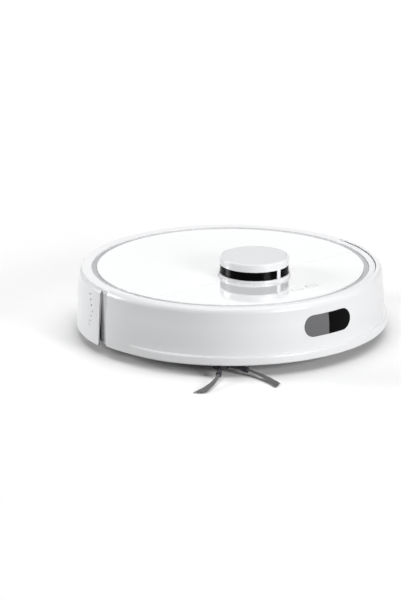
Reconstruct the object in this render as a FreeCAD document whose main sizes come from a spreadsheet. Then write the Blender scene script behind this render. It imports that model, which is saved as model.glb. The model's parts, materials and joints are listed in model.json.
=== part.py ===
import FreeCAD, Part
import math
import os
import re

import Sketcher
from FreeCAD import Vector

# Robot vacuum, in millimetres. X points ahead, to the sensor window, Y to the left and Z up.
# The origin is on the floor, below the centre of the round body.

doc = FreeCAD.newDocument("robot_vacuum")

SIZES = {
    # round body
    "shell_radius": 170.2, "shell_mid_lean": 0.4, "shell_top_lean": 1.8, "shell_wall": 2.0,
    "shell_mid_height": 51, "shell_neck_height": 58, "shoulder_radius": 7, "shoulder_top": 75.2,
    "flange_width": 7.4, "flange_reach": 3.6, "flange_gap": 0.3,
    "bumper_half_angle": 91.5, "strip_start_angle": 88, "side_start_angle": 96.5,
    "module_half_angle": 40, "bumper_travel": 4, "bumper_low": 12.6,
    "leaf_radius": 26, "leaf_thick": 0.5, "leaf_height": 8, "leaf_low": 28, "leaf_sweep": 70,
    "lip_stand": 4.3, "lip_top": 22.7, "lip_half_angle": 79,
    "rear_stand": 0.5, "rear_lean": 3.1, "rear_wall": 2.4, "rear_low": 9.5,
    "rear_top": 72, "rear_shoulder": 5, "rear_gap": 0.4, "split_gap": 0.4, "strip_thick": 2.2,
    # chassis
    "base_under": 12, "base_thick": 2.5, "base_inset": 2.5, "inner_wall": 2.2,
    # deck
    "deck_top": 73.3, "deck_thick": 2.5, "rim_width": 13.5, "groove_width": 6.1, "rim_top": 73.5,
    "top_plate": 2.2, "trim_thick": 0.8, "trim_gap": 0.3, "seam_gap": 0.3,
    # turret
    "turret_x": 42, "cap_radius": 38.2, "cap_top": 94.9, "cap_low": 86, "cap_wall": 1.6,
    "window_radius": 37.3, "window_wall": 1.3, "window_low": 74.9, "ring_radius": 39.5, "ring_top": 76.6,
    "ring_inner": 38.0, "cup_low": 56.5, "cup_floor": 2, "disc_radius": 35.7, "disc_thick": 0.9,
    "cap_travel": 1.5, "rotor_radius": 25, "rotor_top": 83.5, "rotor_low": 61, "belt_top": 66.5,
    "belt_groove_radius": 27, "belt_gap": 0.3, "belt_thick": 1, "pulley_radius": 4, "pulley_offset": 48.2,
    "lidar_motor_radius": 8, "spindle_radius": 4, "lidar_motor_low": 46.5,
    # keys
    "key_x": 115, "key_pitch": 21, "key_length": 15, "key_width": 7.5, "key_gap": 0.3, "key_top": 73.8,
    "key_low": 69.6, "key_travel": 0.6,
    # sensor window in the bumper
    "eye_height": 23.8, "eye_middle": 48.5, "eye_half_width": 32, "eye_gap": 0.15,
    # drive wheels
    "wheel_x": -9, "wheel_track": 118, "wheel_radius": 33, "wheel_width": 18, "tread_depth": 6.5,
    "hub_cavity": 15.6, "hub_web": 4, "motor_radius": 15, "drive_shaft": 3, "running_gap": 0.05,
    "hinge_x": 44, "hinge_height": 42, "hinge_pin": 2.5, "arm_thick": 5, "arm_inner": 103.5,
    "arm_boss": 7, "arm_motor_boss": 12, "arm_width": 12,
    "well_front": 56, "well_rear": -48, "well_inner": 103, "well_outer": 133, "well_wall": 1.5,
    "well_top": 67.5, "coil_radius": 4.2, "coil_wire": 0.6,
    # caster
    "caster_x": 122, "caster_trail": 4, "roller_radius": 10.5, "roller_width": 12, "caster_axle": 1.5,
    "socket_wall": 1.7, "socket_clearance": 0.61, "fork_clearance": 0.5, "caster_room": 5, "stem_room": 7,
    "cheek_over": 2.7, "caster_stem": 3, "cheek_thick": 2.4, "cheek_low": 6.5, "cheek_half": 5,
    # suction brush
    "brush_x": 14, "brush_height": 21, "fin_radius": 19.5, "core_radius": 7, "fin_thick": 2.2,
    "fin_half_length": 84, "journal_radius": 3, "bush_radius": 6, "brush_room": 22, "brush_box_wall": 2,
    "brush_box_end": 6, "brush_box_top": 44, "brush_room_half": 88, "guard_thick": 2.3, "guard_margin": 6,
    "guard_low": 9.6, "duct_left": 2, "duct_right": 60, "duct_low": 24, "duct_high": 42, "duct_wall": 2,
    "gearbox_width": 7, "brush_motor_radius": 12, "brush_motor_gap": 4, "brush_motor_height": 28,
    "brush_motor_length": 36,
    # side brush
    "sweeper_x": 112, "sweeper_y": -103, "sweeper_radius": 82, "sweeper_hub": 9, "sweeper_low": 4.6,
    "sweeper_high": 11.2, "sweeper_box": 9.5, "sweeper_stub": 3, "sweeper_first": 10, "sweeper_second": -56,
    "sweeper_bow": 8, "sweeper_motor_turn": 134, "sweeper_motor_out": 26, "sweeper_motor_radius": 9,
    # dust bin module
    "bin_half": 100, "bin_low": 21.6, "bin_high": 66, "bin_wall": 2, "lid_thick": 2,
    "filter_thick": 6, "latch_half": 17.6, "latch_low": 40, "latch_high": 54, "latch_gap": 0.4,
    "latch_thick": 4, "latch_travel": 2.5, "skirt_top": 21.1,
    # mop
    "mop_inset": 6.7, "mop_reach": 2, "mop_plate_low": 5, "mop_plate_high": 9, "pad_low": 0.5,
    "pad_inset": 2,
    # fan
    "fan_y": -45, "fan_box_radius": 27, "fan_box_low": 18, "fan_box_high": 60,
    "impeller_radius": 23, "impeller_low": 24, "impeller_high": 36, "fan_motor_radius": 13,
    "fan_motor_low": 38, "fan_wall": 2, "fan_inlet": 12, "fan_shaft": 2,
    # battery and board
    "battery_gap": 5.5, "battery_front_gap": 2.5, "battery_right": -66.5, "battery_left": 44.5,
    "battery_low": 14.8, "battery_high": 38, "door_gap": 0.2, "board_low": 46, "board_thick": 1.6,
    "board_length": 72, "board_gap": 2.5, "board_right": -77, "board_left": 54,
    # small pieces
    "contact_inner": 12, "contact_outer": 24, "contact_inset": 0.3, "contact_depth": 4.2, "contact_low": 11.5,
    "contact_high": 19, "screw_radius": 3, "screw_shank": 1.5, "screw_inset": 30.2, "speaker_half": 14,
    "speaker_x": 100, "speaker_y": 76, "vent_radius": 1.1, "vent_angle": -102, "cliff_inset": 25.2,
    "cliff_half": 6,
}

# Places that follow from the sizes above.
PLACES = {
    "shell_mid_radius": "shell_radius - shell_mid_lean", "shell_top_radius": "shell_radius - shell_top_lean",
    "lip_radius": "shell_radius + lip_stand", "flange_inner_radius": "shell_top_radius - flange_width",
    "deck_radius": "flange_inner_radius - rim_width", "rear_low_radius": "shell_radius + rear_stand",
    "rear_top_radius": "rear_low_radius - rear_lean", "base_rear_radius": "rear_low_radius - base_inset",
    "front_radius": "flange_inner_radius + flange_reach - bumper_travel - flange_gap",
    "base_top": "base_under + base_thick", "plate_high": "deck_top - deck_thick",
    "plate_low": "plate_high - top_plate", "rim_rear": "rear_top_radius - rear_wall - rear_gap",
    "rim_inner": "deck_radius + groove_width", "pulley_x": "turret_x - pulley_offset",
    "roller_x": "caster_x - caster_trail", "fork_low": "roller_radius + cheek_over",
    "fork_top": "2 * roller_radius + caster_room", "socket_top": "fork_top + stem_room",
    "socket_inner": "sqrt((caster_trail + roller_radius)^2 + (roller_width / 2)^2) + socket_clearance",
    "socket_radius": "socket_inner + socket_wall", "fork_radius": "socket_inner - fork_clearance",
    "brush_front": "brush_x + brush_room + brush_box_wall",
    "brush_rear": "brush_x - brush_room - brush_box_wall",
    "brush_ends": "brush_room_half + brush_box_end",
    "brush_motor_x": "brush_front + brush_motor_gap + brush_motor_radius",
    "fan_x": "brush_rear - fan_box_radius", "bin_front": "fan_x - fan_box_radius",
    "mop_radius": "rear_low_radius - mop_inset", "mop_front": "bin_front + mop_reach",
    "battery_front": "caster_x - socket_radius - battery_front_gap",
    "battery_rear": "brush_front + battery_gap",
    "board_rear": "battery_rear + board_gap", "board_front": "board_rear + board_length",
    "contact_face": "rear_low_radius - contact_inset", "contact_root": "contact_face - contact_depth",
    "outside": "shell_radius + 10", "screw_circle": "shell_radius - screw_inset",
    "cliff_circle": "shell_radius - cliff_inset",
}

sheet = doc.addObject("Spreadsheet::Sheet", "Sizes")
for row, (name, value) in enumerate(SIZES.items(), 1):
    sheet.set("A%d" % row, name)
    sheet.set("B%d" % row, str(value))
    sheet.setAlias("B%d" % row, name)
doc.recompute()

finished = []


def sized(text):
    """Write each place out in sizes, and the sheet's name in front of each size."""
    def named(word):
        if word[0] in PLACES:
            return "(%s)" % sized(PLACES[word[0]])
        return ("Sizes." if word[0] in SIZES else "") + word[0]
    return re.sub(r"[a-z][a-z_]*", named, str(text))


def worth(text):
    return float(sheet.evalExpression(sized(text)))


def bind(thing, **sizes):
    for name, text in sizes.items():
        thing.setExpression(name, sized(text))
    return thing


def put(thing, at=(0, 0, 0), axis=(0, 0, 1), turn=0):
    """Turn a solid about an axis through its own origin, then move it."""
    thing.Placement = FreeCAD.Placement(Vector(), FreeCAD.Rotation(Vector(*axis), worth(turn) or 1))
    thing.setExpression("Placement.Rotation.Angle", sized(turn))
    for letter, text in zip("xyz", at):
        thing.setExpression("Placement.Base." + letter, sized(text))
    return thing


def part(label, solid):
    """Name a finished sub-part."""
    solid.Label = label
    finished.append(solid)
    return solid


def block(x, y, z):
    """Box between two values on each axis."""
    box = bind(doc.addObject("Part::Box", "block"), Length=f"({x[1]}) - ({x[0]})",
               Width=f"({y[1]}) - ({y[0]})", Height=f"({z[1]}) - ({z[0]})")
    return put(box, (x[0], y[0], z[0]))


def rod(radius, z, at=(0, 0), sweep=360, start=0):
    """Upright cylinder, or a sector of one."""
    solid = bind(doc.addObject("Part::Cylinder", "rod"), Radius=radius, Height=f"({z[1]}) - ({z[0]})",
                 Angle=sweep)
    return put(solid, (at[0], at[1], z[0]), turn=start)


def cross_rod(radius, y, x, z):
    """Cylinder along Y."""
    solid = bind(doc.addObject("Part::Cylinder", "cross_rod"), Radius=radius, Height=f"({y[1]}) - ({y[0]})")
    return put(solid, (x, y[0], z), axis=(1, 0, 0), turn=-90)


def long_rod(radius, x, y, z):
    """Cylinder along X."""
    solid = bind(doc.addObject("Part::Cylinder", "long_rod"), Radius=radius, Height=f"({x[1]}) - ({x[0]})")
    return put(solid, (x[0], y, z), axis=(0, 1, 0), turn=90)


def fuse(*solids):
    joined = doc.addObject("Part::MultiFuse", "fuse")
    joined.Shapes = list(solids)
    return joined


def cut(base, *tools):
    rest = doc.addObject("Part::Cut", "cut")
    rest.Base = base
    rest.Tool = tools[0] if len(tools) == 1 else fuse(*tools)
    return rest


def common(one, two):
    shared = doc.addObject("Part::Common", "common")
    shared.Base = one
    shared.Tool = two
    return shared


def group(*solids):
    """Several separate solids in one sub-part."""
    held = doc.addObject("Part::Compound", "group")
    held.Links = list(solids)
    return held


def bend(tail, head, radius, side):
    """Arc from tail to head with its centre to the left (side 1) or right (side -1) of the way."""
    way = head - tail
    middle = (tail + head) * 0.5
    rise = math.sqrt(max(radius ** 2 - way.Length ** 2 / 4, 0))
    centre = middle + Vector(-way.y, way.x, 0).normalize() * rise * side
    first, last = (tail, head) if side > 0 else (head, tail)
    angles = [math.atan2(point.y - centre.y, point.x - centre.x) for point in (first, last)]
    return Part.ArcOfCircle(Part.Circle(centre, Vector(0, 0, 1), radius), *angles)


def outlined(body, plane, outline):
    """Closed sketch through corners (x, y), or (x, y, radius, side) where an arc arrives."""
    sketch = body.newObject("Sketcher::SketchObject", "outline")
    sketch.AttachmentSupport = [(next(f for f in body.Origin.OriginFeatures if f.Role == plane), "")]
    sketch.MapMode = "FlatFace"
    corners = [Vector(worth(x), worth(y), 0) for x, y, *arc in outline]
    ends = []
    for index, (x, y, *arc) in enumerate(outline):
        tail, head = corners[index - 1], corners[index]
        edge = bend(tail, head, worth(arc[0]), arc[1]) if arc else Part.LineSegment(tail, head)
        sketch.addGeometry(edge)
        ends.append((2, 1) if arc and arc[1] < 0 else (1, 2))
    for index, (x, y, *arc) in enumerate(outline):
        following = (index + 1) % len(outline)
        head = (index, ends[index][1])
        sketch.addConstraint(Sketcher.Constraint("Coincident", *head, following, ends[following][0]))
        for kind, text, axis in (("DistanceX", x, -2), ("DistanceY", y, -1)):
            if str(text) == "0":
                sketch.addConstraint(Sketcher.Constraint("PointOnObject", *head, axis))
                continue
            place = sketch.addConstraint(Sketcher.Constraint(kind, -1, 1, *head, worth(text)))
            sketch.renameConstraint(place, "%s_%d" % (kind, index))
            sketch.setExpression("Constraints.%s_%d" % (kind, index), sized(text))
        if arc:
            place = sketch.addConstraint(Sketcher.Constraint("Radius", index, worth(arc[0])))
            sketch.renameConstraint(place, "Radius_%d" % index)
            sketch.setExpression("Constraints.Radius_%d" % index, sized(arc[0]))
    return sketch


def turned(outline, sweep=360, start=0, at=(0, 0, 0)):
    """Outline of radius and height, turned about the upright axis."""
    body = doc.addObject("PartDesign::Body", "turned")
    sketch = outlined(body, "XZ_Plane", outline)
    spin = body.newObject("PartDesign::Revolution", "spin")
    spin.Profile = sketch
    spin.ReferenceAxis = (sketch, ["V_Axis"])
    spin.setExpression("Angle", sized(sweep))
    body.Tip = spin
    return put(body, at, turn=start)


def ring(outer, inner, z, at=(0, 0)):
    return turned([(inner, 0), (outer, 0), (outer, f"({z[1]}) - ({z[0]})"), (inner, f"({z[1]}) - ({z[0]})")],
                  at=(at[0], at[1], z[0]))


def pair(sign, low, high):
    """The same stretch of Y on the left (1) or mirrored on the right (-1)."""
    return (low, high) if sign > 0 else (f"-({high})", f"-({low})")


# ---- chassis: the moulded base that everything is screwed to ----

rear_sweep = "360 - 2 * strip_start_angle"
brush_sides = ("brush_x - brush_room", "brush_x + brush_room")


def well(sign, grow, top):
    """Room of a drive wheel, open below; grow adds its wall."""
    return block((f"well_rear - {grow}", f"well_front + {grow}"),
                 pair(sign, f"well_inner - {grow}", f"well_outer + {grow}"),
                 ("base_top" if grow != "0" else 0, top))


def polar(radius, angle):
    return (f"({radius}) * cos({angle})", f"({radius}) * sin({angle})")


screw_places = [polar("screw_circle", angle) for angle in (30, -30, 122, -122)]
screw_places += [("-30", "88"), ("-30", "-88")]
post_places = [("board_rear + 4", "board_right + 4"), ("board_front - 4", "board_right + 4"),
               ("board_rear + 4", "board_left - 3"), ("board_front - 4", "board_left - 3")]
cliff_places = [18, -18, 62, -62]

floor_plate = fuse(
    rod("front_radius", ("base_under", "base_top")),
    rod("base_rear_radius - 2.4", ("base_under", "base_top"), sweep=rear_sweep, start="strip_start_angle"),
    rod("base_rear_radius", ("base_under", "base_top"), sweep="360 - 2 * side_start_angle",
        start="side_start_angle"))
front_wall = turned([("front_radius - inner_wall", 0), ("front_radius", 0),
                     ("front_radius", "plate_low - base_top"),
                     ("front_radius - inner_wall", "plate_low - base_top")],
                    sweep="2 * strip_start_angle", start="-strip_start_angle", at=(0, 0, "base_top"))
rear_skirt = turned([("base_rear_radius - 0.3", 0), ("rear_low_radius", 0),
                     ("rear_low_radius - 0.4", "skirt_top - rear_low"),
                     ("base_rear_radius - 0.3", "skirt_top - rear_low")],
                    sweep="2 * module_half_angle", start="180 - module_half_angle", at=(0, 0, "rear_low"))
posts = [rod(3, ("base_under + 1", "board_low"), at) for at in post_places]
bosses = [rod(4, ("base_under + 1", 30), at) for at in screw_places]
chassis_cuts = [well(sign, "0", "well_top") for sign in (1, -1)]
chassis_cuts += [rod("socket_radius", (0, 40), ("caster_x", 0)),
                 rod("sweeper_box + seam_gap", (0, 37), ("sweeper_x", "sweeper_y")),
                 block(brush_sides, ("-brush_room_half", "brush_room_half"), (0, 30)),
                 block(("battery_rear - door_gap", "battery_front + door_gap"),
                       ("battery_right - door_gap", "battery_left + door_gap"), (0, "base_top")),
                 *[block(("-outside", "-contact_root + 0.1"),
                         pair(sign, "contact_inner - 0.1", "contact_outer + 0.1"),
                         ("contact_low - 0.1", "contact_high + 0.1")) for sign in (1, -1)]]
for at in screw_places:
    chassis_cuts.append(rod("screw_radius + 0.2", (0, "base_under + 1.4"), at))
    chassis_cuts.append(rod("screw_shank + 0.1", (0, 27), at))
for angle in cliff_places:
    x, y = polar("cliff_circle", angle)
    chassis_cuts.append(block((f"{x} - cliff_half - 0.1", f"{x} + cliff_half + 0.1"),
                              (f"{y} - cliff_half - 0.1", f"{y} + cliff_half + 0.1"), (0, "base_top")))
chassis = fuse(floor_plate, front_wall, rear_skirt, *posts, *bosses,
               *[well(sign, "well_wall", "well_top + well_wall - 0.4") for sign in (1, -1)])
part("chassis_base", cut(chassis, *chassis_cuts))

part("chassis_screws", group(*[
    fuse(rod("screw_radius", ("base_under + 0.2", "base_under + 1.4"), at),
         rod("screw_shank", ("base_under + 1", 26), at)) for at in screw_places]))
part("cliff_sensor_windows", group(*[
    block((f"{polar('cliff_circle', angle)[0]} - cliff_half",
           f"{polar('cliff_circle', angle)[0]} + cliff_half"),
          (f"{polar('cliff_circle', angle)[1]} - cliff_half",
           f"{polar('cliff_circle', angle)[1]} + cliff_half"),
          ("base_under", "base_top")) for angle in cliff_places]))
part("charging_contacts", group(*[
    block(("-contact_face", "-contact_root"), pair(sign, "contact_inner", "contact_outer"),
          ("contact_low", "contact_high")) for sign in (1, -1)]))

# ---- side walls behind the bumper, in one round with the bin's own wall ----


def rear_band(low, sweep, start):
    """Stretch of the rear wall with its rounded top edge."""
    return turned([("rear_top_radius - rear_wall", "rear_top"), ("rear_top_radius - rear_wall", 60),
                   ("rear_low_radius - rear_wall", 24), ("rear_low_radius - rear_wall", low),
                   ("rear_low_radius", low), (169.4, 32), (168.4, 55), ("rear_top_radius", "rear_top - 4.6"),
                   ("rear_top_radius - 2.2", "rear_top", "rear_shoulder", 1)], sweep, start)


side_sweep = "180 - side_start_angle - module_half_angle - split_gap / 4"
vents = []
for index in range(7):
    lean = 0.2 * (index - 3) ** 2
    tube = bind(doc.addObject("Part::Cylinder", "vent"), Radius="vent_radius", Height=12)
    height = 27 + 5.75 * index
    spot = f"vent_angle - {lean:.2f} * 0.9 + 1.6"
    put(tube, (*polar(162, spot), height),
        axis=(math.cos(math.radians(-12)), math.sin(math.radians(-12)), 0), turn=90)
    vents.append(tube)
part("side_walls", group(
    rear_band("rear_low", side_sweep, "side_start_angle"),
    cut(rear_band("rear_low", side_sweep, "180 + module_half_angle + split_gap / 4"), *vents)))
strip_outer = "rear_top_radius - rear_wall - 0.1"
strip_rise = "plate_low - base_top"
part("gap_strips", group(*[
    turned([(f"{strip_outer} - strip_thick", 0), (strip_outer, 0), (strip_outer, strip_rise),
            (f"{strip_outer} - strip_thick", strip_rise)],
           "side_start_angle + 1 - strip_start_angle", start, (0, 0, "base_top"))
    for start in ("strip_start_angle", "-side_start_angle - 1")]))

# ---- top housing and the two glossy deck panels ----

key_places = {"power_button": "0", "dock_button": "key_pitch", "spot_button": "-key_pitch"}


def pill(length, width, z, at):
    """Round-ended bar along Y."""
    half = f"({length} - ({width})) / 2"
    bar = block((f"{at[0]} - ({width}) / 2", f"{at[0]} + ({width}) / 2"),
                (f"{at[1]} - {half}", f"{at[1]} + {half}"), z)
    return fuse(bar, rod(f"({width}) / 2", z, (at[0], f"{at[1]} - {half}")),
                rod(f"({width}) / 2", z, (at[0], f"{at[1]} + {half}")))


def key_holes(z):
    return [pill("key_length + 2 * key_gap", "key_width + 2 * key_gap", z,
                 ("key_x", y)) for y in key_places.values()]


housing = turned([(0, 0), ("rim_rear", 0), ("rim_rear", "rim_top - plate_low - 0.6"),
                  ("rim_rear - 0.6", "rim_top - plate_low"), ("rim_inner", "rim_top - plate_low"),
                  ("rim_inner", "top_plate"), (0, "top_plate")], at=(0, 0, "plate_low"))
front_rebate = turned([("front_radius", 0), (200, 0), (200, 20), ("front_radius", 20)],
                      "2 * strip_start_angle", "-strip_start_angle", (0, 0, 60))
part("top_housing", cut(housing, front_rebate, rod("ring_radius + 0.1", (60, 80), ("turret_x", 0)),
                        *key_holes((60, 80))))
part("deck_trim_ring", ring("rim_inner - trim_gap", "deck_radius + trim_gap",
                            ("plate_high", "plate_high + trim_thick")))


def deck_panel(x):
    disc = rod("deck_radius", ("plate_high", "deck_top"))
    return cut(common(disc, block(x, (-160, 160), (60, 80))),
               rod("ring_radius + 0.2", (60, 80), ("turret_x", 0)),
               *key_holes((60, 80)))


part("front_deck_panel", deck_panel(("turret_x + seam_gap / 2", 160)))
part("rear_deck_panel", deck_panel((-160, "turret_x - seam_gap / 2")))
for label, y in key_places.items():
    part(label, pill("key_length", "key_width", ("key_low", "key_top"), ("key_x", y)))
part("key_switch_strip", fuse(
    block(("key_x - 6", "key_x + 6"), ("-key_pitch - 12", "key_pitch + 12"),
          ("plate_low - 1.6", "plate_low")),
    *[rod(2, ("plate_low", "plate_low + 0.2"), ("key_x", y)) for y in key_places.values()]))

# ---- laser turret: fixed cup and ring, spinning head, and the cap that can be pushed down ----

turret = ("turret_x", 0)
cup = turned([(0, 0), ("ring_radius", 0), ("ring_radius", "ring_top - cup_low"),
              ("ring_inner", "ring_top - cup_low"),
              ("ring_inner", "cup_floor"), ("spindle_radius + 4", "cup_floor"),
              ("spindle_radius + 4", "cup_floor + 2.2"), ("spindle_radius + running_gap", "cup_floor + 2.2"),
              ("spindle_radius + running_gap", "cup_floor"), (0, "cup_floor")], at=("turret_x", 0, "cup_low"))
belt_slot = block(("pulley_x - 8", "turret_x"), ("-belt_groove_radius - 3", "belt_groove_radius + 3"),
                  ("rotor_low - 1", "belt_top + 0.6"))
part("turret_base", cut(cup, belt_slot))
head = turned([(0, 0), ("belt_groove_radius", 0), ("belt_groove_radius", "belt_top - rotor_low"),
               ("belt_groove_radius + 2", "belt_top - rotor_low"),
               ("belt_groove_radius + 2", "belt_top - rotor_low + 1.5"),
               ("rotor_radius", "belt_top - rotor_low + 1.5"), ("rotor_radius", "rotor_top - rotor_low"),
               (0, "rotor_top - rotor_low")], at=("turret_x", 0, "rotor_low"))
lens_holes = [long_rod(5.1, ("turret_x + rotor_radius - 6", "turret_x + rotor_radius + 5"), y,
                       77) for y in (-9, 9)]
spindle = rod("spindle_radius", ("cup_low + cup_floor + 0.3", "rotor_low + 1"), turret)
part("lidar_rotor", cut(fuse(head, spindle), *lens_holes))
part("lidar_lenses", common(group(*[long_rod(5,
        ("turret_x + rotor_radius - 6", "turret_x + rotor_radius + 5"), y, 77)
                                    for y in (-9, 9)]), rod("rotor_radius - 0.3", (60, 90), turret)))
part("lidar_pulley", fuse(rod("pulley_radius", ("rotor_low + 0.4", "belt_top - 0.4"), ("pulley_x", 0)),
                          rod("pulley_radius + 1.5", ("belt_top - 0.3", "belt_top + 0.5"), ("pulley_x", 0)),
                          rod(1, ("rotor_low - 3", "rotor_low + 1"), ("pulley_x", 0))))
part("lidar_motor", cut(rod("lidar_motor_radius", ("lidar_motor_low", "rotor_low - 0.4"), ("pulley_x", 0)),
                        rod(1.06, ("rotor_low - 4", "rotor_low"), ("pulley_x", 0))))


def belt_face(grow):
    """Flat outline of the belt round its two pulleys, tangent to both."""
    large = worth("belt_groove_radius + belt_gap") + grow
    small = worth("pulley_radius + belt_gap") + grow
    gap = worth("pulley_offset")
    lean = math.acos((large - small) / gap)
    near, far = Vector(worth("turret_x"), 0, 0), Vector(worth("pulley_x"), 0, 0)

    def point(centre, radius, angle):
        return centre + Vector(math.cos(angle), math.sin(angle), 0) * radius

    up, down = math.pi - lean, lean - math.pi
    edges = [Part.LineSegment(point(near, large, up), point(far, small, up)).toShape(),
             Part.Arc(point(far, small, up), point(far, small, math.pi), point(far, small, down)).toShape(),
             Part.LineSegment(point(far, small, down), point(near, large, down)).toShape(),
             Part.Arc(point(near, large, down), point(near, large, 0), point(near, large, up)).toShape()]
    return Part.Face(Part.Wire(edges))


belt = doc.addObject("Part::Feature", "belt")
belt_up = Vector(0, 0, worth("belt_top - rotor_low - 1.6"))
belt.Shape = belt_face(worth("belt_thick")).extrude(belt_up).cut(belt_face(0).extrude(belt_up))
put(belt, (0, 0, "rotor_low + 0.8"))
part("lidar_belt", belt)

windows = ((10, 40), (60, 70), (140, 80), (230, 132))
band = ring("window_radius", "window_radius - window_wall", ("window_low", "cap_low"), turret)
cap_dome = turned([(0, "cap_low - cap_low"), ("cap_radius", "cap_low - cap_low"),
                   ("cap_radius", "cap_top - cap_low - 1.2"),
                   ("cap_radius - 1.2", "cap_top - cap_low", 1.2, 1),
                   ("disc_radius + 0.1", "cap_top - cap_low"),
                   ("disc_radius + 0.1", "cap_top - cap_low - disc_thick"),
                   (0, "cap_top - cap_low - disc_thick")], at=("turret_x", 0, "cap_low"))
cap_room = rod("cap_radius - cap_wall", ("cap_low - 1", "cap_top - 3.4"), turret)
window_wedges = [rod(50, (70, "cap_low"), turret, sweep, start) for start, sweep in windows]
window_clear = [rod(50, ("window_low + 1.6", "cap_low"), turret, sweep, start) for start, sweep in windows]
posts_band = cut(band, *window_clear)
part("turret_cap", fuse(cut(cap_dome, cap_room), posts_band))
inner_band = ring("window_radius", "window_radius - window_wall", ("window_low + 1.7", "cap_low - 0.05"),
                  turret)
part("turret_window", common(inner_band, fuse(*[rod(50, (70, "cap_low"), turret, f"{sweep} - 0.2",
                                                    f"{start} + 0.1")
                                               for start, sweep in windows])))
part("turret_disc", rod("disc_radius", ("cap_top - disc_thick", "cap_top"), turret))

# ---- bumper: a half-round sprung shell with a lip along its foot and the sensor window ----

bumper_outline = [
    ("shell_radius", "bumper_low"), ("shell_radius", 27), ("shell_mid_radius", "shell_mid_height"),
    ("shell_top_radius", "shell_neck_height"), ("shell_top_radius", "shoulder_top - shoulder_radius"),
    ("shell_top_radius - shoulder_radius", "shoulder_top", "shoulder_radius", 1),
    ("flange_inner_radius", "shoulder_top - 0.3"), ("flange_inner_radius", "rim_top + flange_gap"),
    ("flange_inner_radius + flange_reach", "rim_top + flange_gap"),
    ("shell_top_radius - shell_wall", "rim_top + flange_gap - 2.6"),
    ("shell_top_radius - shell_wall", "shell_neck_height"),
    ("shell_mid_radius - shell_wall", "shell_mid_height"),
    ("shell_radius - shell_wall", 27), ("shell_radius - shell_wall", "bumper_low")]


def bumper_band():
    return turned(bumper_outline, "2 * bumper_half_angle", "-bumper_half_angle")


def eye(grow, low, high):
    """Round-ended bar through the bumper's front, from Y low to Y high."""
    radius = f"eye_height / 2 + {grow}"
    ends = "eye_half_width - eye_height / 2"
    bar = block((120, 200), (f"-({ends})", ends), (f"eye_middle - ({radius})", f"eye_middle + {radius}"))
    whole = fuse(bar, *[long_rod(radius, (120, 200), f"{sign} * ({ends})", "eye_middle") for sign in (1, -1)])
    return common(whole, block((120, 200), (low, high), (0, 100)))


part("bumper_shell", cut(bumper_band(), eye("eye_gap", -60, 60)))
part("sensor_window_black", common(bumper_band(), eye("0", 0.05, 60)))
part("sensor_window_grey", common(bumper_band(), eye("0", -60, -0.05)))
part("bumper_lip", turned([("shell_radius", "bumper_low"), ("lip_radius - 1.9", "bumper_low"),
                           ("lip_radius - 0.5", "bumper_low + 1"), ("lip_radius", "bumper_low + 3"),
                           ("lip_radius", "lip_top - 4"), ("lip_radius - 0.6", "lip_top - 1.4"),
                           ("lip_radius - 1.8", "lip_top"), ("shell_radius", "lip_top")],
                          "2 * lip_half_angle", "-lip_half_angle"))


def spring(label, radius, wire, turns, length, places):
    """Round-wire coils, one at each place, each given as a start and an axis."""
    coils = []
    for start, axis in places:
        path = Part.makeHelix(length / turns, length, radius)
        section = Part.Wire(Part.makeCircle(wire, Vector(radius, 0, 0), Vector(0, 1, 0)))
        coil = Part.Wire(path).makePipeShell([section], True, True)
        coil.Placement = FreeCAD.Placement(start, FreeCAD.Rotation(Vector(0, 0, 1), axis))
        coils.append(coil)
    held = doc.addObject("Part::Feature", "spring")
    held.Shape = Part.makeCompound(coils)
    part(label, held)




def leaf(angle):
    """Bowed steel strip, fixed to the front wall at its ends and touching the bumper with its middle."""
    middle = "shell_radius - shell_wall - flange_gap - leaf_radius"
    return turned([("leaf_radius - leaf_thick", 0), ("leaf_radius", 0), ("leaf_radius", "leaf_height"),
                   ("leaf_radius - leaf_thick", "leaf_height")], "leaf_sweep", f"{angle} - leaf_sweep / 2",
                  (*polar(middle, angle), "leaf_low"))


part("bumper_springs", group(leaf(25), leaf(-25)))
part("bumper_switches", group(*[
    put(bind(doc.addObject("Part::Box", "switch"), Length=3.2, Width=12, Height=6),
        (*polar("front_radius", angle), 40), turn=angle) for angle in (45, -45)]))

# ---- drive wheels, each on a sprung arm in its own well ----

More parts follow.
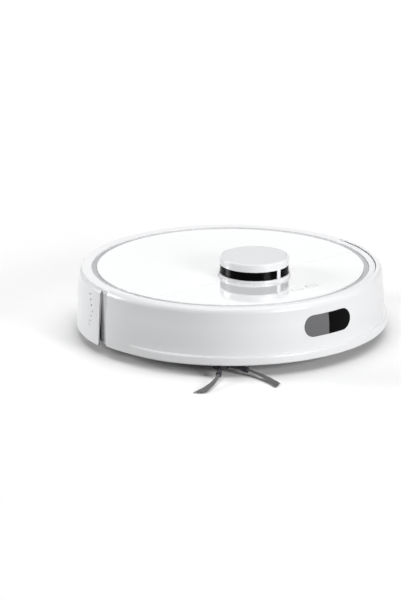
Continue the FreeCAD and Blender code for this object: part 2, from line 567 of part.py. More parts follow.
hinge_pins = []
coil_places = []
for side, sign in (("left", 1), ("right", -1)):
    inner = "arm_inner + arm_thick"
    across = pair(sign, "arm_inner", inner)
    hinge = ("hinge_x", "hinge_height")
    hinge_pins.append(cross_rod("hinge_pin", pair(sign, "well_inner", "well_outer"), *hinge))
    beam = bind(doc.addObject("Part::Box", "beam"),
                Length="sqrt((hinge_x - wheel_x)^2 + (hinge_height - wheel_radius)^2)",
                Width="arm_thick", Height="arm_width")
    slope = math.degrees(math.atan2(worth("hinge_height - wheel_radius"), worth("hinge_x - wheel_x")))
    put(beam, ("wheel_x + arm_width / 2 * sin(%s)" % slope, across[0], "wheel_radius - arm_width / 2"),
        axis=(0, 1, 0), turn=-slope)
    arm = fuse(beam, cross_rod("arm_boss", across, *hinge),
               cross_rod("arm_motor_boss", across, "wheel_x", "wheel_radius"))
    motor_end = "wheel_track + wheel_width / 2 - hub_web - 0.8"
    motor = fuse(cross_rod("motor_radius", pair(sign, inner, motor_end), "wheel_x", "wheel_radius"),
                 cross_rod("drive_shaft", pair(sign, inner, "wheel_track + wheel_width / 2 - 0.6"),
                           "wheel_x", "wheel_radius"))
    part(f"wheel_arm_{side}", group(cut(arm,
            cross_rod("hinge_pin + running_gap", pair(sign, 0, 150), *hinge)), motor))
    wheel_face = pair(sign, "wheel_track - wheel_width / 2 + 0.6", "wheel_track + wheel_width / 2")
    hub_body = cross_rod("wheel_radius - tread_depth", wheel_face, "wheel_x", "wheel_radius")
    cavity = cross_rod("hub_cavity", pair(sign, 90, "wheel_track + wheel_width / 2 - hub_web"), "wheel_x",
                       "wheel_radius")
    bore = cross_rod("drive_shaft + running_gap", pair(sign, 90, 150), "wheel_x", "wheel_radius")
    part(f"wheel_hub_{side}", cut(hub_body, cavity, bore))
    tyre_face = pair(sign, "wheel_track - wheel_width / 2", "wheel_track + wheel_width / 2")
    part(f"wheel_tyre_{side}", cut(cross_rod("wheel_radius", tyre_face, "wheel_x", "wheel_radius"),
                                   cross_rod("wheel_radius - tread_depth", pair(sign, 90, 150), "wheel_x",
                                             "wheel_radius")))
    start = Vector(worth("hinge_x"), sign * worth(f"{inner} + 1.2"), worth("hinge_height"))
    coil_places.append((start, Vector(0, sign, 0)))
part("wheel_hinge_pins", group(*hinge_pins))
spring("wheel_springs", worth("coil_radius"), worth("coil_wire"), 9, 14, coil_places)

# ---- caster under the nose ----

caster = ("caster_x", 0)
part("caster_socket", turned([("socket_inner", 0), ("socket_radius", 0),
                              ("socket_radius", "socket_top - base_under"),
                              ("caster_stem + running_gap", "socket_top - base_under"),
                              ("caster_stem + running_gap", "fork_top + 1 - base_under"),
                              ("socket_inner", "fork_top + 1 - base_under")],
                              at=("caster_x", 0, "base_under")))
cheeks = [block(("roller_x - cheek_half", "roller_x + cheek_half"),
                pair(sign, "roller_width / 2 + 0.4", "roller_width / 2 + 0.4 + cheek_thick"),
                ("cheek_low", "fork_low + 1"))
          for sign in (1, -1)]
fork = fuse(rod("fork_radius", ("fork_low", "fork_top"), caster),
            rod("caster_stem", ("fork_top - 1", "socket_top"), caster),
            *cheeks)
roller_room = block(("roller_x - roller_radius - 1", "roller_x + roller_radius + 1"),
                    ("-roller_width / 2 - 0.4", "roller_width / 2 + 0.4"), (0, "2 * roller_radius + 1"))
axle_hole = cross_rod("caster_axle + 0.01", (-20, 20), "roller_x", "roller_radius")
axle_half = "roller_width / 2 + 0.4 + cheek_thick"
part("caster_fork", group(cut(fork, roller_room, axle_hole),
                          cross_rod("caster_axle", (f"-({axle_half})", axle_half),
                                    "roller_x", "roller_radius")))
part("caster_roller", cut(cross_rod("roller_radius", ("-roller_width / 2", "roller_width / 2"), "roller_x",
                                    "roller_radius"),
                          cross_rod("caster_axle + running_gap", (-20, 20), "roller_x", "roller_radius")))

# ---- suction brush, its housing, guard and drive ----

room = block(brush_sides, ("-brush_room_half", "brush_room_half"), (0, "brush_box_top - brush_box_wall"))
brush_case = block(("brush_rear", "brush_front"),
                   ("-brush_ends", "brush_ends"), ("base_top", "brush_box_top"))
mouth = ("duct_left + duct_wall", "duct_right - duct_wall")
mouth_z = ("duct_low + duct_wall", "duct_high - duct_wall")
housing_shell = cut(brush_case, room, cross_rod("bush_radius", (-120, 120), "brush_x", "brush_height"),
                    block((-20, "brush_x"), mouth, mouth_z))
bushes = [cut(cross_rod("bush_radius", pair(sign, "brush_room_half", "brush_ends"), "brush_x",
                        "brush_height"),
              cross_rod("journal_radius + running_gap", (-120, 120), "brush_x",
                        "brush_height")) for sign in (1, -1)]
duct = cut(block(("bin_front + split_gap", "brush_rear"), ("duct_left", "duct_right"),
                 ("duct_low", "duct_high")), block((-90, "brush_x - brush_room"), mouth, mouth_z))
part("brush_housing", group(housing_shell, duct, *bushes))
part("brush_guard", cut(
    block(("brush_x - brush_room - guard_margin", "brush_x + brush_room + guard_margin"),
          ("-brush_room_half - guard_margin", "brush_room_half + guard_margin"),
          ("guard_low", "guard_low + guard_thick")),
    block(("brush_x - brush_room + 1.4", "brush_x + brush_room - 1.4"),
          ("-brush_room_half + 2", "brush_room_half - 2"),
          (0, 20))))
core = cross_rod("core_radius", ("-fin_half_length - 2", "fin_half_length + 2"), "brush_x", "brush_height")
journal = cross_rod("journal_radius", (f"-brush_ends + 0.4", "brush_ends - 0.4"), "brush_x", "brush_height")
part("brush_core", fuse(core, journal))
fins = []
for index in range(6):
    fin = bind(doc.addObject("Part::Box", "fin"), Length="fin_radius", Width="2 * fin_half_length",
               Height="fin_thick")
    fins.append(put(fin, ("brush_x", "-fin_half_length", "brush_height"), axis=(0, 1, 0), turn=60 * index))
part("brush_fins", cut(fuse(*fins), cross_rod("core_radius", (-120, 120), "brush_x", "brush_height")))
gear_case = block(("brush_x - 12", "brush_motor_x + 12"), ("brush_ends + 0.2", "brush_ends + gearbox_width"),
                  ("base_top", 42))
part("brush_motor", fuse(gear_case, cross_rod("brush_motor_radius",
                                              ("brush_ends - brush_motor_length", "brush_ends + 1"),
                                              "brush_motor_x", "brush_motor_height")))

# ---- side brush on the right ----

sweeper = ("sweeper_x", "sweeper_y")
link = bind(doc.addObject("Part::Box", "link"), Length="sweeper_motor_out", Width=12, Height=14)
put(link, ("sweeper_x + 6 * sin(sweeper_motor_turn)", "sweeper_y - 6 * cos(sweeper_motor_turn)", 18),
    turn="sweeper_motor_turn")
motor_spot = ("sweeper_x + sweeper_motor_out * cos(sweeper_motor_turn)",
              "sweeper_y + sweeper_motor_out * sin(sweeper_motor_turn)")
part("side_brush_motor", cut(fuse(rod("sweeper_box", ("base_under - 0.3", 36), sweeper), link,
                                  rod("sweeper_motor_radius", ("base_top", 44), motor_spot)),
                             rod("sweeper_stub + running_gap", (0, 22), sweeper)))
hub = cut(fuse(rod("sweeper_hub", ("sweeper_low", "sweeper_high"), sweeper),
               rod("sweeper_stub", ("sweeper_high - 1", 20), sweeper)),
          rod(1.2, (0, 14), sweeper), rod(3.1, (0, "sweeper_low + 1.5"), sweeper))
screw = fuse(rod(3, ("sweeper_low + 0.2", "sweeper_low + 1.5"), sweeper),
             rod(1.19, ("sweeper_low + 1", 13), sweeper))
part("side_brush_hub", group(hub, screw))


def sweeper_arm(angle):
    """Tuft that bows to one side, and widens and thins from the hub down to its tip at the floor."""
    reach = worth("sweeper_radius")
    inner = worth("sweeper_hub") - 1.5
    sections = []
    for share, half, low, high in ((0, 3, 5, 9.5), (0.2, 3.5, 4.2, 7.2), (0.45, 3, 3, 5.4),
                                   (0.7, 3.8, 1.9, 3.6), (1, 5, 0.5, 1.5)):
        distance = inner + (reach - inner) * share
        bow = 4 * worth("sweeper_bow") * share * (1 - share)
        corners = [Vector(distance, bow - half, low), Vector(distance, bow + half, low),
                   Vector(distance, bow + half, high), Vector(distance, bow - half, high)]
        sections.append(Part.makePolygon(corners + corners[:1]))
    arm = Part.makeLoft(sections, True, True)
    arm.Placement = FreeCAD.Placement(Vector(worth(sweeper[0]), worth(sweeper[1]), 0),
                                      FreeCAD.Rotation(Vector(0, 0, 1), angle))
    return arm


arms = doc.addObject("Part::Feature", "arms")
tufts = sweeper_arm(worth("sweeper_first")).fuse(sweeper_arm(worth("sweeper_second")))
keep_out = Part.makeCylinder(worth("sweeper_hub"), 20, Vector(worth(sweeper[0]), worth(sweeper[1]), 0))
arms.Shape = tufts.cut(keep_out)
part("side_brush_arms", arms)

# ---- dust bin module, which slides out behind ----

module_start = "180 - module_half_angle + split_gap / 4"
module_sweep = "2 * module_half_angle - split_gap / 2"
rear_solid = [(0, "bin_low"), ("rear_low_radius - 1", "bin_low"), ("rear_top_radius - rear_wall + 1", 58),
              ("rear_top_radius - rear_wall + 1", "bin_high"), (0, "bin_high")]
bin_box = common(turned(rear_solid), block(("-outside", "bin_front"), ("-bin_half", "bin_half"), (0, 100)))
bin_room = common(rod("rear_top_radius - rear_wall - 1", ("bin_low + bin_wall", "bin_high + 1")),
                  block(("-outside", "bin_front - bin_wall"),
                        ("-bin_half + bin_wall", "bin_half - bin_wall"), (0, 100)))
latch_room = block(("-outside", "-rear_top_radius + latch_thick + latch_travel + 2"),
                   ("-latch_half - latch_gap", "latch_half + latch_gap"),
                   ("latch_low - latch_gap", "latch_high + latch_gap"))
latch_box = common(turned(rear_solid), block(("-outside",
                                              "-rear_top_radius + latch_thick + latch_travel + 4"),
                                             ("-latch_half - 3", "latch_half + 3"),
                                             ("latch_low - 3", "latch_high + 3")))
filter_hole = block((-68, -60), ("fan_y - 22", "fan_y + 22"), (30, 56))
bin_body = fuse(cut(bin_box, bin_room), rear_band("bin_low", module_sweep, module_start), latch_box)
part("bin_shell", cut(bin_body, latch_room, filter_hole, block((-68, -60), mouth, mouth_z)))
lid_room = "rear_top_radius - rear_wall - 1.1"
part("bin_lid", common(rod(lid_room, ("bin_high - lid_thick", "bin_high")),
                       block(("-outside", "bin_front - bin_wall - 0.1"),
                             ("-bin_half + bin_wall + 0.1", "bin_half - bin_wall - 0.1"), (0, 100))))
part("bin_filter", block(("bin_front - bin_wall - filter_thick", "bin_front - bin_wall"),
                         ("fan_y - 26", "fan_y + 26"), (27, 59)))
part("bin_latch", common(rear_band("latch_low - 20", 40, 160),
                         block(("-outside", -100), ("-latch_half", "latch_half"),
                               ("latch_low", "latch_high"))))

# ---- mop plate and its cloth pad ----

mop_x = ("-outside", "mop_front")
part("mop_plate", common(rod("mop_radius", ("mop_plate_low", "mop_plate_high")),
                         block(mop_x, ("-outside", "outside"), (0, 20))))
part("mop_pad", common(rod("mop_radius - pad_inset", ("pad_low", "mop_plate_low")),
                       block(("-outside", "mop_front - pad_inset"), ("-outside", "outside"), (0, 20))))

# ---- fan, battery, board and speaker ----

fan = ("fan_x", "fan_y")
fan_case = turned([("fan_inlet", 0), ("fan_box_radius", 0), ("fan_box_radius", "fan_box_high - fan_box_low"),
                   ("fan_motor_radius + 0.1", "fan_box_high - fan_box_low"),
                   ("fan_motor_radius + 0.1", "fan_box_high - fan_box_low - fan_wall"),
                   ("fan_box_radius - fan_wall", "fan_box_high - fan_box_low - fan_wall"),
                   ("fan_box_radius - fan_wall", "fan_wall"), ("fan_inlet", "fan_wall")],
                   at=("fan_x", "fan_y", "fan_box_low"))
fan_motor = cut(rod("fan_motor_radius", ("fan_motor_low", "fan_box_high + 2"), fan),
                rod("fan_shaft + running_gap", (0, 50), fan))
part("fan_housing", group(cut(fan_case, block(("fan_x - 10", "fan_x + 10"), ("fan_y - 60", "fan_y"),
                                              (40, 54))), fan_motor))
blades = []
for index in range(9):
    blade = bind(doc.addObject("Part::Box", "blade"), Length="impeller_radius - 6", Width=1.2,
                 Height="impeller_high - impeller_low - 1")
    blades.append(put(blade, (f"fan_x + 5 * cos({40 * index})", f"fan_y + 5 * sin({40 * index})",
                              "impeller_low"), turn=40 * index + 18))
part("fan_impeller", fuse(rod("impeller_radius", ("impeller_high - 1.5", "impeller_high"), fan),
                          rod(6, ("impeller_low", "impeller_high"), fan),
                          rod("fan_shaft", ("impeller_high - 1", 48), fan), *blades))
battery_y = ("battery_right", "battery_left")
part("battery_pack", block(("battery_rear", "battery_front"), battery_y, ("battery_low", "battery_high")))
part("battery_door", block(("battery_rear", "battery_front"), battery_y, ("base_under", "base_top")))
board = block(("board_rear", "board_front"), ("board_right", "board_left"),
              ("board_low", "board_low + board_thick"))
chips = [block((x, x + 14), (y, y + 14), ("board_low + board_thick", "board_low + board_thick + 1.6"))
         for x, y in ((58, -50), (84, -20), (90, 24))]
part("main_board", fuse(board, *chips))
part("speaker", fuse(rod("speaker_half", ("base_top", "base_under + 10"), ("speaker_x", "speaker_y")),
                     rod("speaker_half - 5", ("base_under + 9", 29), ("speaker_x", "speaker_y"))))

doc.recompute()
failed = [thing.Name + " " + thing.Label for thing in doc.Objects if {"Invalid", "Error"} & set(thing.State)]
failed += [thing.Label for thing in finished if thing.Shape.isNull() or not thing.Shape.isValid()]
if failed:
    raise RuntimeError("not built: " + ", ".join(failed))
os.makedirs("parts", exist_ok=True)
for thing in finished:
    thing.Shape.exportStep("parts/%s.step" % thing.Label)
print(len(finished), "sub-parts written")
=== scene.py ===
import json
import math
import random

import bmesh
import bpy
from mathutils import Matrix, Vector


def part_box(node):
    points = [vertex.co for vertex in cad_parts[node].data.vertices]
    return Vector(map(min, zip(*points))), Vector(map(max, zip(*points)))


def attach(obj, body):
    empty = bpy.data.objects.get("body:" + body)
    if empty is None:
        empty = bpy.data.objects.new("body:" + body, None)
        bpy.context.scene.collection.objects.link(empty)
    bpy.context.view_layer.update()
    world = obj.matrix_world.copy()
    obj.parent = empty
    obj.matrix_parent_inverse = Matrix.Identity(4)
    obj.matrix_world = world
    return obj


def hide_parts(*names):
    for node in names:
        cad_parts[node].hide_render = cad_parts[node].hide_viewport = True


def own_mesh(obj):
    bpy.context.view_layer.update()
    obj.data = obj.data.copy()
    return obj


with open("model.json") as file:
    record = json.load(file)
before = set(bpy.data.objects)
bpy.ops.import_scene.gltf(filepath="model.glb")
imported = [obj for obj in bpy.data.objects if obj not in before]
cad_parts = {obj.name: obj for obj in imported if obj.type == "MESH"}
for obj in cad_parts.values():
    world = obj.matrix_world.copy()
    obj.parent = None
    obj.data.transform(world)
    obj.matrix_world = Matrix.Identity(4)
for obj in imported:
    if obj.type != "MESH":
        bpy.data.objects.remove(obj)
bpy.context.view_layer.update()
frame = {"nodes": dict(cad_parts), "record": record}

# ---- Camera ----
# A long lens, low and to the front right of the robot, so that the round body shows almost no perspective.
# It aims a little behind and to the right of the body's middle.

aim = Vector((-0.028, -0.020, 0.030))
toward_camera = Vector((0.7486, -0.5944, 0.2936))
camera_distance = 4.473
stand = aim + camera_distance * toward_camera
camera = bpy.data.objects.new("camera", bpy.data.cameras.new("camera"))
bpy.context.scene.collection.objects.link(camera)
camera.data.lens = 241
camera.data.clip_end = 50
camera.location = stand
camera.rotation_euler = (aim - stand).to_track_quat("-Z", "Y").to_euler()
bpy.context.scene.camera = camera

# ---- Bumper shell ----
# The front half-round is one white ABS moulding, 2 mm thick, with a round shoulder that reaches over the rim.
# It hangs on two steel leaves and slides back 4 mm when it meets something. The sensor window is let into
# its nose.


def plastic(name, colour, roughness, grain, coat=0.0, specular=0.5, spread=0.02):
    """Moulded plastic or rubber: fine grain from the tool, and slow changes of tone and gloss."""
    material = bpy.data.materials.new(name)
    material.use_nodes = True
    nodes, links = material.node_tree.nodes, material.node_tree.links
    shader = nodes["Principled BSDF"]
    shader.inputs["Coat Weight"].default_value = coat
    shader.inputs["Coat Roughness"].default_value = 0.04
    shader.inputs["Specular IOR Level"].default_value = specular
    place = nodes.new("ShaderNodeTexCoord")
    slow = nodes.new("ShaderNodeTexNoise")
    slow.inputs["Scale"].default_value = 14
    slow.inputs["Detail"].default_value = 3
    fine = nodes.new("ShaderNodeTexNoise")
    fine.inputs["Scale"].default_value = 2600
    fine.inputs["Detail"].default_value = 2
    tone = nodes.new("ShaderNodeMix")
    tone.data_type = "RGBA"
    tone.inputs["A"].default_value = [channel * (1 - spread) for channel in colour] + [1]
    tone.inputs["B"].default_value = [min(1, channel * (1 + spread)) for channel in colour] + [1]
    gloss = nodes.new("ShaderNodeMapRange")
    gloss.inputs["To Min"].default_value = roughness * 0.9
    gloss.inputs["To Max"].default_value = roughness * 1.1
    bump = nodes.new("ShaderNodeBump")
    bump.inputs["Strength"].default_value = grain
    bump.inputs["Distance"].default_value = 0.0002
    links.new(place.outputs["Object"], slow.inputs["Vector"])
    links.new(place.outputs["Object"], fine.inputs["Vector"])
    links.new(slow.outputs["Fac"], tone.inputs["Factor"])
    links.new(slow.outputs["Fac"], gloss.inputs["Value"])
    links.new(fine.outputs["Fac"], bump.inputs["Height"])
    links.new(tone.outputs["Result"], shader.inputs["Base Color"])
    links.new(gloss.outputs["Result"], shader.inputs["Roughness"])
    links.new(bump.outputs["Normal"], shader.inputs["Normal"])
    return material


def piece(name, mesh, material, body, slot, *stands_for):
    """Make a finished mesh into a piece that rides on a body and stands for CAD nodes."""
    data = bpy.data.meshes.new(name)
    mesh.to_mesh(data)
    mesh.free()
    data.shade_smooth()
    data.set_sharp_from_angle(angle=math.radians(50))
    made = bpy.data.objects.new(name, data)
    bpy.context.scene.collection.objects.link(made)
    made.modifiers.new("even shading", "WEIGHTED_NORMAL").keep_sharp = True
    data.materials.append(material)
    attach(made, body)
    if stands_for:
        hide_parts(*stands_for)
    return made


def polar(radius, degrees, height=0.0, centre=(0, 0)):
    turn = math.radians(degrees)
    return Vector((centre[0] + radius * math.cos(turn), centre[1] + radius * math.sin(turn), height))


def arc(centre, radius, first, last, steps):
    """Points of a round stretch of an outline, from one angle to another."""
    points = [polar(radius, first + (last - first) * k / steps, 0, centre) for k in range(steps + 1)]
    return [(point.x, point.y) for point in points]


def merged(*meshes):
    """Put several meshes into the first."""
    for extra in meshes[1:]:
        data = bpy.data.meshes.new("extra")
        extra.to_mesh(data)
        extra.free()
        meshes[0].from_mesh(data)
        bpy.data.meshes.remove(data)
    return meshes[0]


def rounded(mesh, width, angle=40, segments=3):
    """Bevel every edge sharper than an angle."""
    sharp = [e for e in mesh.edges if len(e.link_faces) == 2 and e.calc_face_angle(0) > math.radians(angle)]
    bmesh.ops.bevel(mesh, geom=sharp, offset=width, offset_type="OFFSET", segments=segments, profile=0.5,
                    affect="EDGES", clamp_overlap=True, material=-1)
    return mesh


def spun(outline, start=0, sweep=360, centre=(0, 0), edge=0.0, step=1.5):
    """Turn a closed outline of (radius, height) about an upright axis, and round its sharp edges."""
    mesh = bmesh.new()
    corners = [mesh.verts.new(polar(r, start, z, centre)) for r, z in outline]
    rim = [mesh.edges.new((corners[k - 1], corners[k])) for k in range(len(corners))]
    whole = sweep == 360
    turned = bmesh.ops.spin(mesh, geom=rim, cent=(*centre, 0), axis=(0, 0, 1), angle=math.radians(sweep),
                            steps=max(8, round(sweep / step)), use_merge=whole)
    if not whole:
        mesh.faces.new(corners)
        last = [item for item in turned["geom_last"] if isinstance(item, bmesh.types.BMEdge)]
        bmesh.ops.contextual_create(mesh, geom=last)
    bmesh.ops.remove_doubles(mesh, verts=mesh.verts, dist=1e-7)
    bmesh.ops.recalc_face_normals(mesh, faces=mesh.faces)
    return rounded(mesh, edge) if edge else mesh


def carved(mesh, operation, *tools):
    """Boolean of a mesh with tool meshes, as a new mesh."""
    scratch = []
    for shape in (mesh, *tools):
        data = bpy.data.meshes.new("scratch")
        shape.to_mesh(data)
        shape.free()
        thing = bpy.data.objects.new("scratch", data)
        bpy.context.scene.collection.objects.link(thing)
        scratch.append(thing)
    for tool in scratch[1:]:
        cutter = scratch[0].modifiers.new("cut", "BOOLEAN")
        cutter.operation = operation
        cutter.object = tool
    depsgraph = bpy.context.evaluated_depsgraph_get()
    result = bmesh.new()
    result.from_mesh(scratch[0].evaluated_get(depsgraph).to_mesh())
    for thing in scratch:
        bpy.data.objects.remove(thing)
    bmesh.ops.remove_doubles(result, verts=result.verts, dist=2e-6)
    return result


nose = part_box("bumper_shell")
shell_radius = nose[1].x
bumper_foot, bumper_top = nose[0].z, nose[1].z
rim_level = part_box("top_housing")[1].z
shell_lean = 0.0018
top_radius = shell_radius - shell_lean
shoulder = 0.007
shell_wall = 0.002
flange_reach = 0.0074
bumper_half_turn = 91.5
bumper_outline = [(shell_radius, bumper_foot), (shell_radius, 0.027), (shell_radius - 0.0001, 0.036),
                  (shell_radius - 0.0003, 0.046), (shell_radius - 0.0009, 0.0535),
                  (top_radius + 0.0001, 0.0585)]
bumper_outline += arc((top_radius - shoulder, bumper_top - shoulder), shoulder, 0, 90, 8)
bumper_outline += [(top_radius - flange_reach, bumper_top - 0.0004),
                   (top_radius - flange_reach, rim_level + 0.0003),
                   (top_radius - 0.0038, rim_level + 0.0003), (top_radius - shell_wall, rim_level - 0.0023),
                   (top_radius - shell_wall, 0.058), (shell_radius - 0.0004 - shell_wall, 0.051),
                   (shell_radius - shell_wall, 0.027), (shell_radius - shell_wall, bumper_foot)]
window_low, window_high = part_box("sensor_window_black")[0].z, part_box("sensor_window_black")[1].z
window_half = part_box("sensor_window_black")[1].y
window_gap = 0.00015
bar_start, bar_length = 0.13, 0.06
past_window = 0.1


def window_bar(grow, low, high):
    """Round-ended bar along X that the sensor window is cut with, between two values of Y."""
    half_height = (window_high - window_low) / 2
    mesh = bmesh.new()
    corners = []
    for side, first in ((1, -90), (-1, 90)):
        centre = (side * (window_half - half_height), window_low + half_height)
        for y, z in arc(centre, half_height + grow, first, first + 180, 16):
            corners.append(mesh.verts.new((bar_start, min(max(y, low), high), z)))
    mesh.faces.new(corners)
    bmesh.ops.remove_doubles(mesh, verts=mesh.verts, dist=1e-6)
    pushed = bmesh.ops.extrude_face_region(mesh, geom=mesh.faces[:])["geom"]
    far_end = [v for v in pushed if isinstance(v, bmesh.types.BMVert)]
    bmesh.ops.translate(mesh, vec=(bar_length, 0, 0), verts=far_end)
    bmesh.ops.recalc_face_normals(mesh, faces=mesh.faces)
    return mesh


white_shell = plastic("white_shell", (0.80, 0.805, 0.815), 0.3, 0.06, coat=0.2)
bumper_round = spun(bumper_outline, -bumper_half_turn, 2 * bumper_half_turn, step=1)
piece("bumper", carved(bumper_round, "DIFFERENCE", window_bar(window_gap, -past_window, past_window)),
      white_shell, "bumper", "white_shell", "bumper_shell")

# ---- Sensor window ----
# Two tinted acrylic halves side by side in the nose: smoke grey over the camera, and near black over the
# infrared pair. Each is bonded flush into the bumper from behind.

black_acrylic = plastic("black_acrylic", (0.0012, 0.0012, 0.0013), 0.2, 0.0, specular=0.05)
grey_acrylic = plastic("grey_acrylic", (0.150, 0.151, 0.155), 0.2, 0.0, specular=0.1)
seam_half = 0.0001
window_half_turn = 20
for name, low, high, acrylic in (("black", seam_half, past_window, black_acrylic),
                                 ("grey", -past_window, -seam_half, grey_acrylic)):
    nose_round = spun(bumper_outline, -window_half_turn, 2 * window_half_turn, step=1)
    piece(f"window_{name}", carved(nose_round, "INTERSECT", window_bar(0, low, high)),
          acrylic, "bumper", f"{name}_window", f"sensor_window_{name}")

# ---- Bumper lip ----
# A separate softer strip along the foot of the bumper, clipped on from below. It stands 4 mm proud, and thins
# away to nothing before the bumper's ends.

lip_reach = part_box("bumper_lip")[1].x
lip_foot, lip_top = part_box("bumper_lip")[0].z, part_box("bumper_lip")[1].z
lip_half_turn, taper_start = 79, 62
foot_round, head_round = 0.0021, 0.0019
head_inset = 0.0024
lip = spun([(shell_radius, lip_foot),
            *arc((lip_reach - foot_round, lip_foot + foot_round), foot_round, -90, 0, 5),
            (lip_reach - 0.0003, lip_top - 0.0032),
            *arc((lip_reach - head_inset, lip_top - head_round), head_round, 0, 90, 5),
            (shell_radius, lip_top)], -lip_half_turn, 2 * lip_half_turn, step=1)
for vert in lip.verts:
    flank = abs(math.degrees(math.atan2(vert.co.y, vert.co.x)))
    taper = max(0.0, (flank - taper_start) / (lip_half_turn - taper_start)) ** 1.6
    left_over = max(0.05, 1 - taper)
    radius = shell_radius + (vert.co.xy.length - shell_radius) * left_over
    vert.co.xy = vert.co.xy.normalized() * radius
piece("lip", lip, white_shell, "bumper", "white_shell", "bumper_lip")

# ---- Side walls and their vents ----
# White walls carry on the bumper's round behind it. The right-hand one has a bowed column of seven exhaust
# holes, with a dark net behind them.

rear_foot = shell_radius + 0.0005
rear_head = rear_foot - 0.0031
rear_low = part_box("side_walls")[0].z
rear_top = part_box("side_walls")[1].z
wall_thick = 0.0024
wall_sweep = 43.3
wall_edge = 0.0003
top_round = 0.0045
wall_outline = [(rear_foot, rear_low), (rear_foot - 0.0006, rear_low + 0.003), (rear_foot - 0.0013, 0.032),
                (rear_foot - 0.0017, 0.044), (rear_foot - 0.0023, 0.055), (rear_head, 0.0668),
                *arc((rear_head - top_round, 0.0672), top_round, 5, 62, 6), (rear_head - 0.0026, rear_top),
                (rear_head - wall_thick, 0.060), (rear_foot - wall_thick, 0.024),
                (rear_foot - wall_thick, rear_low)]
vent_heights = (0.0270, 0.0321, 0.0377, 0.0440, 0.0501, 0.0559, 0.0615)
vent_radius, vent_depth = 0.0011, 0.02
vent_turn, vent_bow = -104.6, 2.6
vent_ring = 0.169
vents = []
for index, height in enumerate(vent_heights):
    turn = vent_turn + vent_bow * (1 - abs(index - 3) / 3)
    hole = bmesh.new()
    bmesh.ops.create_cone(hole, cap_ends=True, segments=20, radius1=vent_radius, radius2=vent_radius,
                          depth=vent_depth)
    bmesh.ops.rotate(hole, matrix=Matrix.Rotation(math.radians(90), 3, "Y"), verts=hole.verts)
    bmesh.ops.rotate(hole, matrix=Matrix.Rotation(math.radians(turn), 3, "Z"), verts=hole.verts)
    bmesh.ops.translate(hole, vec=polar(vent_ring, turn, height), verts=hole.verts)
    vents.append(hole)
piece("side_wall_left", spun(wall_outline, 96.5, wall_sweep, edge=wall_edge, step=1),
      white_shell, "chassis", "white_shell", "side_walls")
right_wall = spun(wall_outline, 220.2, wall_sweep, edge=wall_edge, step=1)
piece("side_wall_right", carved(right_wall, "DIFFERENCE", *vents), white_shell, "chassis", "white_shell")
vent_grey = plastic("vent_grey", (0.10, 0.10, 0.11), 0.6, 0.1)
net_inner, net_outer = 0.1640, 0.1646
net_low, net_high = 0.022, 0.066
net_outline = [(net_inner, net_low), (net_outer, net_low), (net_outer, net_high), (net_inner, net_high)]
piece("vent_net", spun(net_outline, 249, 12), vent_grey, "chassis", "dark_plastic")

# ---- End strips ----
# A grey strip on each flank closes the gap that the bumper's end slides over.
# It lies back from the outside, so that nothing rubs.

# The strip's grey is painted light: lighter than the strip's own tone, to make up for the shade the walls
# cast into its recess.
strip_grey = plastic("strip_grey", (0.62, 0.622, 0.63), 0.5, 0.1)
strip_low, strip_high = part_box("gap_strips")[0].z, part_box("gap_strips")[1].z
strip_inner, strip_outer = 0.1629, 0.1651
strip_sweep = 9.5
strips = [spun([(strip_inner, strip_low), (strip_outer, strip_low), (strip_outer, strip_high),
                (strip_inner, strip_high)], start, strip_sweep, edge=0.0002) for start in (88, -97.5)]
piece("end_strips", merged(*strips), strip_grey, "chassis", "grey_trim", "gap_strips")

# ---- Top housing ----
# One white moulding closes the robot: a raised rim round the deck, which the bumper's edge overlaps in front,
# and a plate below the deck. A ring coloured mid grey lines the groove between the rim and the deck, and
# darkens it.


def softened(name, width):
    """CAD node's mesh with its flat faces made whole and its sharp edges rounded."""
    mesh = bmesh.new()
    mesh.from_mesh(frame["nodes"][name].data)
    bmesh.ops.remove_doubles(mesh, verts=mesh.verts, dist=1e-6)
    bmesh.ops.dissolve_limit(mesh, angle_limit=math.radians(0.5), verts=mesh.verts, edges=mesh.edges)
    return rounded(mesh, width)


# The groove's ring is coloured grey, which makes the groove read darker than the white rim and deck around
# it.
groove_grey = plastic("groove_grey", (0.52, 0.525, 0.535), 0.4, 0.05)
piece("rim", softened("top_housing", 0.0005), white_shell, "chassis", "white_shell", "top_housing")
piece("trim_ring", softened("deck_trim_ring", 0.0002), groove_grey, "chassis", "pale_grey", "deck_trim_ring")

# ---- Deck panels ----
# Two flat acrylic panels, back-painted white and polished, meet in a fine seam through the turret's middle.
# The front one is pierced for the three keys. No lettering is printed on them.

white_deck = plastic("white_deck", (0.84, 0.845, 0.855), 0.06, 0.0, coat=1.0)
for end in ("front", "rear"):
    piece(f"deck_{end}", softened(f"{end}_deck_panel", 0.0003), white_deck, "chassis", "white_deck",
          f"{end}_deck_panel")

# ---- Keys ----
# Three round-ended keys in a row ahead of the turret, white on white, with softly rounded edges.
# Each travels 0.6 mm down onto its switch.

key_edge = 0.0006
for key in ("power", "dock", "spot"):
    piece(f"{key}_cap", softened(f"{key}_button", key_edge), white_shell, f"{key}_key", "white_deck",
          f"{key}_button")

# ---- Laser turret ----
# A fixed white ring on the deck, and a cap on four posts that can be pushed down. Black acrylic windows
# between the posts hide the spinning head. A pale satin disc is let into the cap's top.

